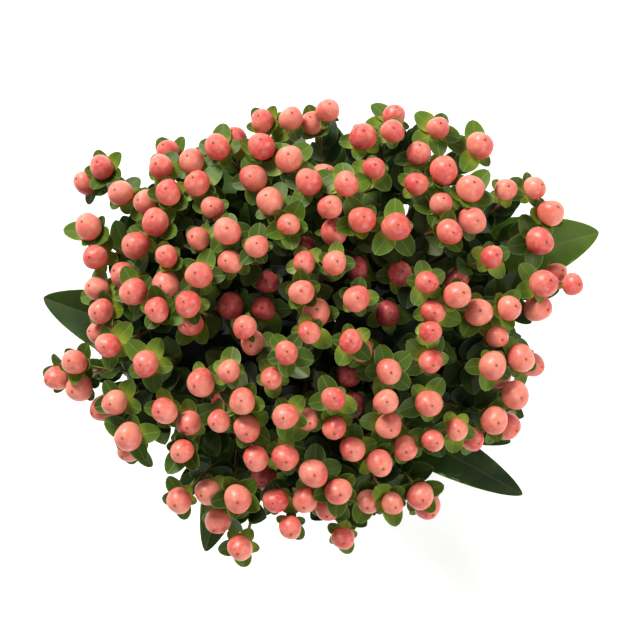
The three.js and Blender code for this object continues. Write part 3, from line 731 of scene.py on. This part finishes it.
def sepal_tips(berry, axis, calyx):
    fold = math.radians(calyx.fold)
    reach = calyx.size * SEPAL_REACH
    return ring_at(base_of(berry, axis) - axis * (reach * math.sin(fold)), axis,
                   NOTCH_RADIUS * berry.radius + reach * math.cos(fold), 5, berry.phase + calyx.turn)


def has_corner(node, place):
    return np.abs(solids[node] - place).max(axis=1).min() < SAME_PLACE


def calyx_of(stem, berry, axis):
    """The calyx that the packed solid has at this berry."""
    for calyx in CALYXES:
        if all(has_corner(stem.name, tip) for tip in sepal_tips(berry, axis, calyx)[:3]):
            return calyx
    return BARE_CALYX


def there_and_back(across):
    """What is given from edge to edge over a blade, and again from edge to edge under it."""
    return np.concatenate([across, across[-2:0:-1]])


def blade_rows(ribs, side, face, half, across, arch, thick):
    """A blade's upper face from edge to edge, and back under it, at each station between its ends.

    half is its half width at each station. arch is how far its points across stand over the rib, to the
    half width. It is thickest at the rib and thins towards its edges.
    """
    ribs, half = ribs[1:-1], half[1:-1]
    depth = np.concatenate([0 * across, thick * (1 - BLADE_THINNING * np.abs(across[-2:0:-1]))])
    spread = half[:, None] * there_and_back(across)
    lift = half[:, None] * there_and_back(arch) - np.minimum(depth, half[:, None])
    return ribs[:, None] + spread[..., None] * side + lift[..., None] * face


def add_blade(piece, rows, ribs, lengths, half, across, tone, rim=1):
    """Adds a blade's rows between its root and tip, painted with where each point lies on it.

    A rim of more than 1 paints the pale edge so much narrower.
    """
    lengths, half = lengths[1:-1, None], half[1:-1, None]
    width = there_and_back(across)
    under = np.arange(len(width)) >= len(across)
    add_skin(piece, rows, ribs[0], ribs[-1], along=lengths, aside=half * width,
             edge=half * (1 - np.abs(width)) * rim, under=under, tone=tone)


def sepal_blade(berry, axis, tip, lift, size):
    """A sepal's ribs, sideways and facing directions, and half widths, from under its berry to its tip."""
    base = base_of(berry, axis)
    out = unit(tip - base - axis.dot(tip - base) * axis)
    # Those that lie over their neighbours start a little higher.
    root = base - axis * (1.5 - 0.3 * lift) + out * 0.9
    bend = base - axis * (1.0 - 0.5 * lift) + out * (0.55 * berry.radius)
    t = np.concatenate([SEPAL_STATIONS, [1]])[:, None]
    ribs = (1 - t) ** 2 * root + 2 * t * (1 - t) * bend + t ** 2 * tip
    side = unit(np.cross(tip - root, axis))
    face = unit(np.cross(side, tip - root))
    half = 0.5 * SEPAL_WIDTH * size * np.sin(np.pi * (0.05 + 0.95 * t[:, 0]) ** 1.4) ** 0.5
    return ribs, side, face, half


def add_calyx(piece, berry, axis, calyx, luck):
    base = base_of(berry, axis)
    vigour = luck.uniform(*CALYX_VIGOUR)
    for packed_tip, lift in zip(sepal_tips(berry, axis, calyx), SEPAL_LIFTS):
        growth = vigour * luck.uniform(*(SHORT_SEPAL if luck.random() < 0.5 else LONG_SEPAL))
        stray = SEPAL_STRAY * np.array([luck.uniform(-1, 1) for _ in range(3)])
        stray += axis * (lift * 0.5 * calyx.size)
        arch = luck.uniform(0.05, 0.28) * SEPAL_ACROSS ** 2
        while True:
            tip = between(base, packed_tip, growth) + stray
            ribs, side, face, half = sepal_blade(berry, axis, tip, lift, calyx.size * growth)
            rows = blade_rows(ribs, side, face, half, SEPAL_ACROSS, arch, SEPAL_THICKNESS)
            if growth < SEPAL_LEAST or is_clear(rows[SEPAL_FREE - 1:], ribs[SEPAL_FREE], tip):
                break
            growth *= SEPAL_SHRINK
        add_blade(piece, rows, ribs, along_of(ribs), half, SEPAL_ACROSS, luck.uniform(0, 1))


def leafy_material(name, dark, light, root, pale, underside, vein_gap, vein_strength, roughness):
    """Green leaf skin between two tones, with a midrib, side veins, a pale edge and its own back.

    vein_gap is how far apart the side veins are, in millimetres.
    """
    material, tree = new_material(name)
    along, aside, edge, under, tone = [
        add_node(tree, "Attribute", attribute_name=label).outputs["Fac"]
        for label in ("along", "aside", "edge", "under", "tone")]
    place = add_node(tree, "TexCoord").outputs["Object"]
    clouds = add_node(tree, "TexNoise", {"Vector": place, "Scale": 90.0, "Detail": 4.0})
    lit = add_node(tree, "Math", {0: clouds, 1: 0.7, 2: tone}, operation="MULTIPLY_ADD")
    off_rib = add_node(tree, "Math", {0: aside}, operation="ABSOLUTE")
    vein = add_node(tree, "Math", {0: off_rib, 1: -0.95, 2: along}, operation="MULTIPLY_ADD")
    vein = add_node(tree, "Math", {0: vein, 1: vein_gap / 2}, operation="PINGPONG")
    lines = {}
    for key, away, width, strength in ((0, vein, 0.55, vein_strength), (1, off_rib, 0.5, 0.9)):
        lines[key] = add_node(tree, "MapRange", {"Value": away, "From Min": 0.05, "From Max": width,
                                                 "To Min": strength, "To Max": 0.0},
                              interpolation_type="SMOOTHSTEP")
    lines = add_node(tree, "Math", lines, operation="MAXIMUM")
    youth = add_node(tree, "Math", {0: tone, 1: 6.0, 2: 3.0}, operation="MULTIPLY_ADD")
    # The last layer is painted shade: where the tone has sunk low, as deep in the bunch, the leaf goes
    # almost black.
    colour = laid_over(
        tree, linear(dark),
        (light, lit, 0.2, 1.5, 0, 1),
        (pale, lines, 0, 1, 0, 0.16),
        (root, along, 0.6, youth, 1, 0, "SMOOTHSTEP"),
        (pale, edge, 0, 0.3, 0.6, 0),
        (underside, under, 0, 1, 0, 1),
        (PAINTED_SHADE_LEAF, lit, -0.7, 0.25, 0.95, 0))
    relief = add_node(tree, "Math", {0: lines, 1: -1.0, 2: clouds}, operation="MULTIPLY_ADD")
    relief = add_node(tree, "Bump", {"Strength": 0.6, "Distance": 0.00018, "Height": relief})
    shader = add_node(tree, "BsdfPrincipled", {
        "Base Color": colour, "Roughness": roughness, "IOR": 1.4, "Specular IOR Level": 0.32,
        "Subsurface Weight": 0.12, "Subsurface Radius": (0.5, 1.0, 0.2), "Subsurface Scale": 0.0006,
        "Normal": relief})
    add_node(tree, "OutputMaterial", {"Surface": shader})
    return material


# Young, soft leaf skin: bright, faintly veined, and half matt.
sepal_skin = leafy_material(
    "sepal_skin", dark=0x2B4208, light=0x526C16, root=0x949C2F, pale=0x99A35E, underside=0x66792E,
    vein_gap=2.2, vein_strength=0.03, roughness=0.52)

for index, stem in enumerate(stems):
    luck = random.Random(100 + index)
    sepals = begin_piece()
    for cyme in stem.cymes:
        for berry in cyme.berries:
            calyx = calyx_of(stem, berry, packed_axis(cyme, berry))
            add_calyx(sepals, berry, berry_axis(cyme, berry), calyx, luck)
    for shoot in stem.late:
        (berry,) = shoot.berries
        add_calyx(sepals, berry, berry_axis(shoot, berry), CALYXES[0], luck)
    finish_piece(sepals, stem.name, "calyxes", [sepal_skin])

# ----------------------------------------
# Leaves. They grow in opposite pairs without stalks: long dark ones down the stem, middling ones at the
# fork, and small bracts under the berries. Those of the packed solid stay where they are, and smaller
# ones fill in between, wherever they clear what stands.

# A leaf's lift is in degrees from square to its wood, and its droop is to its length.
BRACT = Record(length=15, width=9.5, lift=38, inset=0.2, droop=0.12, blunt=0.56, tone=0.75)
FORK_LEAF = Record(length=30, width=17, lift=32, inset=0.75, droop=0.12, blunt=0.64, tone=0.55)
STEM_LEAF = Record(length=47, width=20, lift=30, inset=0.75, droop=0.2, blunt=0.76, tone=0.5)
LOW_LEAF = Record(length=42, width=18, lift=26, inset=0.75, droop=0.2, blunt=0.76, tone=0.5)
BRANCH_LEAF = Record(length=17, width=11, lift=42, inset=0.3, droop=0.15, blunt=0.56, tone=0.7)
BRACT_BACK = 0.08
BRANCH_LEAVES_AT = [(0.42, 90), (0.72, 0)]  # along the branch, and turned from its cyme's bracts
REACH_RISE = 0.12
REACH_GROWTH = 1.06  # of the length in the packed solid
REACH_BLUNT = 0.62
LEAF_CUP = 0.28
LEAF_TROUGH = 0.4  # how much steeper a leaf stands by its rib
LEAF_SWEEP = 0.03
LEAF_WAVE = 0.035
BRACT_WAVE = 0.02
WAVES = 2.2  # along each edge
LEAF_BARE_ROOT = 0.15
LEAF_THICKNESS = 0.36
# The sizes, and the lifts and turns in degrees, that are tried for a leaf.
LEAF_TRIES = list(itertools.product([1, 0.75], [0, 18, -18, 36], [0, 20, -20, 40, -40]))
LEAF_ACROSS = np.array([-1, -0.82, -0.55, -0.28, -0.08, 0, 0.08, 0.28, 0.55, 0.82, 1])
BRACT_ACROSS = np.array([-1, -0.7, -0.3, 0, 0.3, 0.7, 1])
LARGE_LEAF = 22  # above this length a blade gets more stations and the finer section
CLEARANCE = 0.3

# What leaves lose of their tone at some depths below the dome, which is painted shade. Inside the bunch it
# darkens them all the way down, and outside it eases off lower down, where light comes in from the side.
SHADED = {"outer": ([8, 20, 30, 50], [0, 0.6, 0.75, 0.5]), "inner": ([8, 20, 35], [0, 1.2, 2.2]),
          "centre": ([8, 20, 35], [0, 1.4, 2.4])}


def leaf_width(u, blunt):
    return np.maximum(np.sin(np.pi * u ** 0.85), 0) ** blunt


def leaf_ribs(root, aim, length, kind, u=1):
    """The places at some shares of a leaf's length, or at its tip."""
    return root + np.outer(length * u, aim) - np.outer(kind.droop * length * u * u, UP)


def leaf_frame(aim):
    side = unit(np.cross(aim, UP))
    return side, np.cross(side, aim)


def blade_has_room(root, aim, length, kind):
    """Tries the blade, a little swollen, from where it leaves its own root, and keeps the room it finds."""
    u = np.array([LEAF_BARE_ROOT, 0.3, 0.5, 0.7, 0.88, 1.02])
    side, face = leaf_frame(aim)
    ribs = leaf_ribs(root, aim, length, kind, u)
    half = 0.5 * kind.width * length / kind.length * leaf_width(np.minimum(u, 1), kind.blunt) + CLEARANCE
    across = np.array([-1.0, 0, 1])
    room = CLEARANCE * face + blade_rows(ribs, side, face, half, across, LEAF_CUP * np.abs(across),
                                         LEAF_THICKNESS + 2 * CLEARANCE)
    if not is_clear(room, ribs[0], ribs[-1]):
        return False
    standing.append(skin_tree(room, ribs[0], ribs[-1]))
    return True


def shade_at(stem, place):
    return np.interp(crown_height(*place[:2]) - place[2], *SHADED[stem.ring])


def add_leaf(piece, root, aim, length, kind, luck, shade=0):
    side, face = leaf_frame(aim)
    large = length > LARGE_LEAF
    u = np.sin(np.linspace(0, np.pi / 2, 19 if large else 12)) ** 1.15
    ribs = leaf_ribs(root, aim, length, kind, u)
    sweep = luck.uniform(-LEAF_SWEEP, LEAF_SWEEP) * length
    ribs += np.outer(sweep * np.sin(np.pi * u), side)
    half = 0.5 * kind.width * min(1, length / kind.length) * leaf_width(u, kind.blunt)
    across = LEAF_ACROSS if large else BRACT_ACROSS
    cup = LEAF_CUP * luck.uniform(0.75, 1.1)
    arch = cup * ((1 + LEAF_TROUGH) * np.abs(across) - LEAF_TROUGH * across ** 2)
    rows = blade_rows(ribs, side, face, half, across, arch, LEAF_THICKNESS)
    width = there_and_back(across)
    ripple = (LEAF_WAVE if large else BRACT_WAVE) * length * 0.5 * np.sin(
        2 * np.pi * (WAVES * u[1:-1, None] + np.where(width > 0, luck.uniform(0, 1), luck.uniform(0, 1))))
    rows += (ripple * width ** 2 * np.sin(np.pi * u[1:-1, None]))[..., None] * face
    tone = kind.tone + luck.uniform(-0.15, 0.2) - shade
    add_blade(piece, rows, ribs, length * u, half, across, tone, 2.5 if large else 1)


def leaf_aim(root, turn, lift):
    (round_wood,) = ring_at(np.zeros(3), root.along, 1, 1, turn)
    return round_wood * math.cos(math.radians(lift)) + root.along * math.sin(math.radians(lift))


def add_pair(piece, stem, root, turn, kind, luck, packed):
    """A pair of leaves. Packed ones are found by their tips in the stem's solid, others by their room."""
    for way in (turn, turn + 180):
        for size, rise, aside in LEAF_TRIES:
            aim = leaf_aim(root, way + aside, kind.lift + rise)
            length = size * kind.length
            base = root.place + kind.inset * aim
            if packed:
                found = has_corner(stem.name, leaf_ribs(base, aim, length, kind))
            else:
                found = blade_has_room(base, aim, length, kind)
            if found:
                add_leaf(piece, base, aim, length, kind, luck, shade_at(stem, base))
                break


def reaching_leaf(stem):
    root = level_on(stem, LEVELS_BACK[stem.ring][0])
    x, y = stem.reach[0] - root.place[0], stem.reach[1] - root.place[1]
    aim = np.array([x, y, math.hypot(x, y) * (REACH_RISE + STEM_LEAF.droop)])
    return root.place + STEM_LEAF.inset * unit(aim), unit(aim), float(np.linalg.norm(aim))


# Firm, waxy leaf skin: deep green with a dull gloss above, and a paler, greyer green below.
leaf_skin = leafy_material(
    "hypericum_leaf_skin", dark=0x16260A, light=0x546D18, root=0x53611B, pale=0x728045, underside=0x5A6C43,
    vein_gap=5.5, vein_strength=0.04, roughness=0.46)

# The added leaves have to clear the packed ones as well.
standing += [solid_tree(name) for name in solids]
foliage = {}
for index, stem in enumerate(stems):
    luck = random.Random(200 + index)
    leaves = foliage[stem.name] = begin_piece()
    for k, back in enumerate(LEVELS_BACK[stem.ring]):
        kind = LOW_LEAF if k == 2 else STEM_LEAF
        add_pair(leaves, stem, level_on(stem, back), stem.stem_turn + 90 * k, kind, luck, True)
    if stem.reach:
        base, aim, length = reaching_leaf(stem)
        if has_corner(stem.name, leaf_ribs(base, aim, length, STEM_LEAF)):
            grown = Record(**vars(STEM_LEAF))
            # Its tone from the table is painted light or shade, in place of the painted shade by depth.
            _, _, grown.width, grown.tone = stem.reach
            grown.blunt = REACH_BLUNT
            add_leaf(leaves, base, aim, REACH_GROWTH * length, grown, luck)
    fork = Record(place=stem.fork, along=stem.out)
    add_pair(leaves, stem, fork, stem.fork_turn, FORK_LEAF, luck, True)
    for cyme in stem.cymes:
        cyme.twig = Record(place=between(cyme.node, stem.fork, BRACT_BACK), along=cyme.out)
        if len(cyme.berries) > 1:
            add_pair(leaves, stem, cyme.twig, cyme.leaf_turn, BRACT, luck, True)
for index, stem in enumerate(stems):
    luck = random.Random(300 + index)
    leaves = foliage[stem.name]
    for cyme in stem.cymes:
        if len(cyme.berries) == 1:
            add_pair(leaves, stem, cyme.twig, cyme.leaf_turn, BRACT, luck, False)
        for at, turned in BRANCH_LEAVES_AT:
            root = Record(place=between(stem.fork, cyme.node, at), along=cyme.out)
            add_pair(leaves, stem, root, cyme.leaf_turn + turned, BRANCH_LEAF, luck, False)
    for shoot in stem.late:
        root = Record(place=shoot.node, along=shoot.out)
        add_pair(leaves, stem, root, shoot.leaf_turn, BRACT, luck, False)
    finish_piece(leaves, stem.name, "leaves", [leaf_skin])

# ----------------------------------------
# The tie. Two-ply jute twine, wound four times round the stems where they cross and drawn tight, with
# both its ends tucked in behind the turns.

TIE_TURNS = 4
TIE_START = -0.08  # of a turn
TWINE_RADIUS = 1.4
WIND_INSIDE = 1.3  # from the outside of its solid to the twine's middle, to the twine's radius
TUCK_TURN = 0.06  # at each end, over which the twine goes in behind its other turns
TUCK_DEPTH = 2.2  # to the twine's radius
PLY_PITCH = 7.5
PLY_GROOVE = 0.62  # the twine's width between its plies and over them, to its radius
PLY_CROWN = 1.02
TWINE_SIDES = 12
TWINE_STEPS = 110  # to a turn

turns = np.linspace(TIE_START, TIE_START + TIE_TURNS, TIE_TURNS * TWINE_STEPS)
heights = TIE_Z + 2 * TWINE_RADIUS * (turns - turns.mean())
ends = np.minimum(turns - turns[0], turns[-1] - turns)
inward = TUCK_DEPTH * np.clip(1 - ends / TUCK_TURN, 0, 1) ** 2
wind = 1000 * (tie_high[0] - tie_low[0]) / 2 - TWINE_RADIUS * (WIND_INSIDE + inward)
angles = 2 * np.pi * turns
course = np.stack([wind * np.cos(angles), wind * np.sin(angles), heights], axis=-1)
twist = 2 * np.pi * along_of(course) / PLY_PITCH
lobes = np.abs(np.cos(angles_round(TWINE_SIDES) - twist[:, None]))
radii = TWINE_RADIUS * between(PLY_GROOVE, PLY_CROWN, lobes ** 0.8)
twine = begin_piece()
add_skin(twine, tube_rows(course, radii, TWINE_SIDES), course[0], course[-1],
         grain=grain_of(course, radii, TWINE_SIDES), groove=1 - lobes)

jute, tree = new_material("jute_twine")
# Dull bast fibre in two twisted plies, streaked along: pale on the crowns, and darker in the grooves
# between the plies, which is painted shade.
grain = add_node(tree, "Attribute", attribute_name="grain").outputs["Vector"]
groove = add_node(tree, "Attribute", attribute_name="groove").outputs["Fac"]
fibres = add_node(tree, "Mapping", {"Vector": grain, "Scale": (4.0, 4.0, 0.5)})
fibres = add_node(tree, "TexNoise", {"Vector": fibres, "Scale": 1.0, "Detail": 5.0})
shade = add_node(tree, "Math", {0: groove, 1: 0.8, 2: fibres}, operation="MULTIPLY_ADD")
colour = laid_over(tree, linear(0xC09A62), (0x7D5A34, shade, 0, 1, 0, 1))
relief = add_node(tree, "Bump", {"Strength": 0.8, "Distance": 0.0003, "Height": fibres})
shader = add_node(tree, "BsdfPrincipled", {"Base Color": colour, "Roughness": 0.92, "Normal": relief})
add_node(tree, "OutputMaterial", {"Surface": shader})
finish_piece(twine, "tie", "twine", [jute])

# ----------------------------------------
# The studio. A near-white table, a white room and three soft lights, the strongest of them from the upper
# left. The camera looks straight down on the dome.

FLOOR_HALF = 3000
LAMP_AIM = np.array([0, 0, 250])  # the middle of the head
LAMP_AWAY = 1900
HEAD_HEIGHT = 300
CAMERA_DISTANCE = 2000
SENSOR = 36
PIXELS = 640
PIXEL = 0.42  # mm, at the height of the head
CAMERA_ASIDE = (-2 * PIXEL, 5 * PIXEL)  # from the tie's axis

floor_mesh = bpy.data.meshes.new("floor")
floor_corners = [(x * FLOOR_HALF, y * FLOOR_HALF, 0) for x, y in ((-1, -1), (1, -1), (1, 1), (-1, 1))]
floor_mesh.from_pydata(in_frame(floor_corners).tolist(), [], [[0, 1, 2, 3]])
floor = new_object("floor", floor_mesh)

# Matt emulsion: without gloss, in clouds of half a metre that are too faint to see.
floor_mesh.materials.append(clouded_material(
    "matt_white_paint", 2.0, one=0xFBFBFA, other=0xF8F8F6, roughness=0.9, specular=0.2))

scene = bpy.context.scene
scene.world = bpy.data.worlds.new("studio")
scene.world.use_nodes = True
room = scene.world.node_tree.nodes["Background"]
room.inputs["Color"].default_value = (1.0, 1.0, 1.0, 1.0)
room.inputs["Strength"].default_value = 0.4


def add_lamp(name, direction, size, watts):
    """A square soft light that faces the head."""
    light = bpy.data.lights.new(name, "AREA")
    light.shape = "SQUARE"
    light.size = size / 1000
    light.energy = watts
    lamp = new_object(name, light)
    place = LAMP_AIM + LAMP_AWAY * unit(np.array(direction))
    lamp.location = in_frame(place)
    lamp.rotation_euler = Vector(LAMP_AIM - place).to_track_quat("-Z", "Y").to_euler()


add_lamp("key_light", (-0.5, 0.85, 0.6), 600, 58)
add_lamp("right_light", (0.95, 0.1, 0.6), 1200, 22)
add_lamp("near_light", (0.4, -0.9, 0.5), 1200, 21)

scene.view_settings.view_transform = "Standard"

camera_lens = bpy.data.cameras.new("camera")
camera_lens.sensor_width = SENSOR
camera_lens.lens = SENSOR * CAMERA_DISTANCE / (PIXELS * PIXEL)
camera_lens.clip_end = 20
camera = new_object("camera", camera_lens)
camera.location = in_frame((*CAMERA_ASIDE, HEAD_HEIGHT + CAMERA_DISTANCE))
scene.camera = camera
